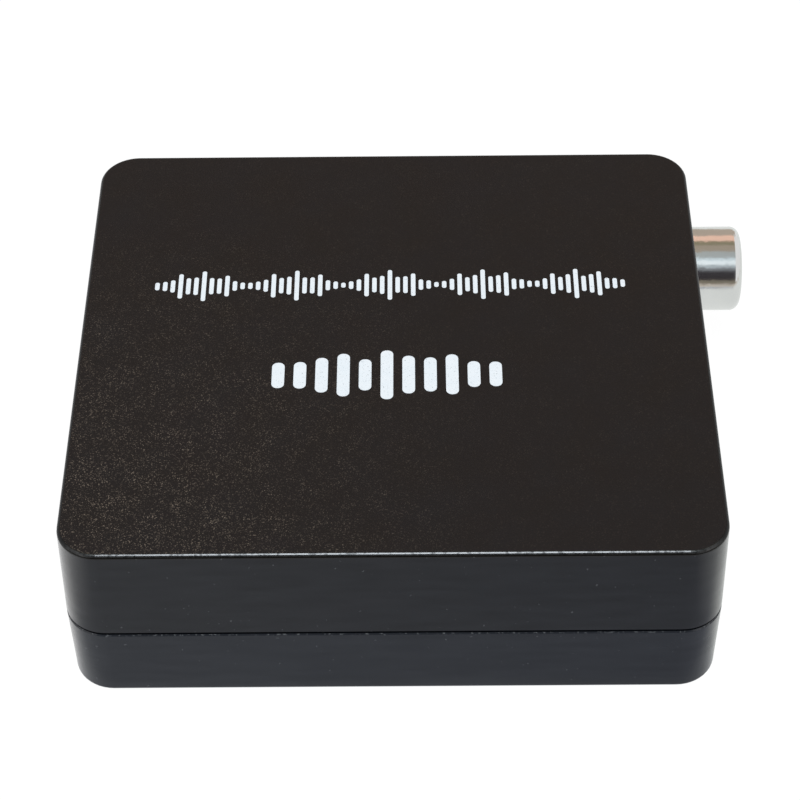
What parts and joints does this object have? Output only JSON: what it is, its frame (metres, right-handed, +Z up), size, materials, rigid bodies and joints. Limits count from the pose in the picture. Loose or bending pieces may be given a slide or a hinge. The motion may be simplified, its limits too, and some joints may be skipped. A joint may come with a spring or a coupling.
{
  "type": "digital audio extractor box",
  "caption": "Small two-shell plastic box with a circuit board inside, picture sockets in and out, and coaxial, optical and headphone sound outlets.",
  "frame": {"origin": "middle of the case's flat underside", "axes": "+X to the right, out of the face that holds the coaxial sleeve; +Y towards the far face with the switch and the lamp; +Z up"},
  "size_m": [0.0632, 0.0538, 0.0182],
  "materials": {
    "case_plastic_upper": "finely textured black, satin",
    "case_plastic_lower": "finely textured black, satin",
    "screw_steel": "blackened",
    "board_laminate": "green solder mask",
    "socket_tin": "tinned sheet",
    "socket_plastic": "moulded black",
    "contact_gold": "gold flashed",
    "shutter_plastic": "moulded black",
    "emitter_resin": "clear dark resin",
    "tinned_legs": "tinned",
    "sleeve_chrome": "bright plated",
    "coax_plastic": "moulded orange",
    "switch_laminate": "brown phenolic board",
    "knob_plastic": "moulded black",
    "lamp_resin": "tinted diffused resin",
    "chip_epoxy": "moulded epoxy",
    "crystal_can": "drawn can",
    "capacitor_can": "satin",
    "capacitor_base": "moulded black",
    "inductor_ferrite": "sintered grey",
    "resistor_ceramic": "glazed",
    "capacitor_ceramic": "unglazed tan"
  },
  "bodies": {
    "root": {"upper_shell": "case_plastic_upper", "lower_shell": "case_plastic_lower", "case_screws": "screw_steel", "circuit_board": "board_laminate", "video_in_shell": "socket_tin", "video_in_insulator": "socket_plastic", "video_in_contacts": "contact_gold", "video_out_shell": "socket_tin", "video_out_insulator": "socket_plastic", "video_out_contacts": "contact_gold", "power_in_shell": "socket_tin", "power_in_insulator": "socket_plastic", "power_in_contacts": "contact_gold", "optical_out_housing": "socket_plastic", "optical_out_emitter": "emitter_resin", "optical_out_pins": "tinned_legs", "coax_out_block": "socket_plastic", "coax_out_sleeve": "sleeve_chrome", "coax_out_insulator": "coax_plastic", "coax_out_centre_contact": "contact_gold", "coax_out_ground_strap": "socket_tin", "phones_out_block": "socket_plastic", "phones_out_contacts": "tinned_legs", "mode_switch_frame": "socket_tin", "mode_switch_base": "switch_laminate", "mode_switch_pins": "tinned_legs", "power_lamp": "lamp_resin", "power_lamp_leads": "tinned_legs", "video_chip": "chip_epoxy", "video_chip_leads": "tinned_legs", "audio_chip": "chip_epoxy", "audio_chip_leads": "tinned_legs", "control_chip": "chip_epoxy", "control_chip_leads": "tinned_legs", "memory_chip": "chip_epoxy", "memory_chip_leads": "tinned_legs", "voltage_regulators": "chip_epoxy", "regulator_leads": "tinned_legs", "crystal_can": "crystal_can", "crystal_leads": "tinned_legs", "capacitor_cans": "capacitor_can", "capacitor_bases": "capacitor_base", "power_inductor": "inductor_ferrite", "surge_arrays": "chip_epoxy", "chip_resistors": "resistor_ceramic", "chip_capacitors": "capacitor_ceramic"},
    "optical_shutter": {"optical_out_shutter": "shutter_plastic"},
    "mode_knob": {"mode_switch_knob": "knob_plastic", "mode_switch_wiper": "contact_gold"}
  },
  "joints": [
    {"name": "mode_switch_slide", "type": "slide", "parent": "root", "child": "mode_knob", "axis": [1, 0, 0], "range_m": [-0.002, 0.002]},
    {"name": "optical_shutter_hinge", "type": "hinge", "parent": "root", "child": "optical_shutter", "pos_m": [0.0274, 0.00579, 0.01325], "axis": [0, 1, 0], "range_deg": [0, 85], "stiffness_Nm_per_rad": 0.0001, "springref_deg": -5.73}
  ]
}
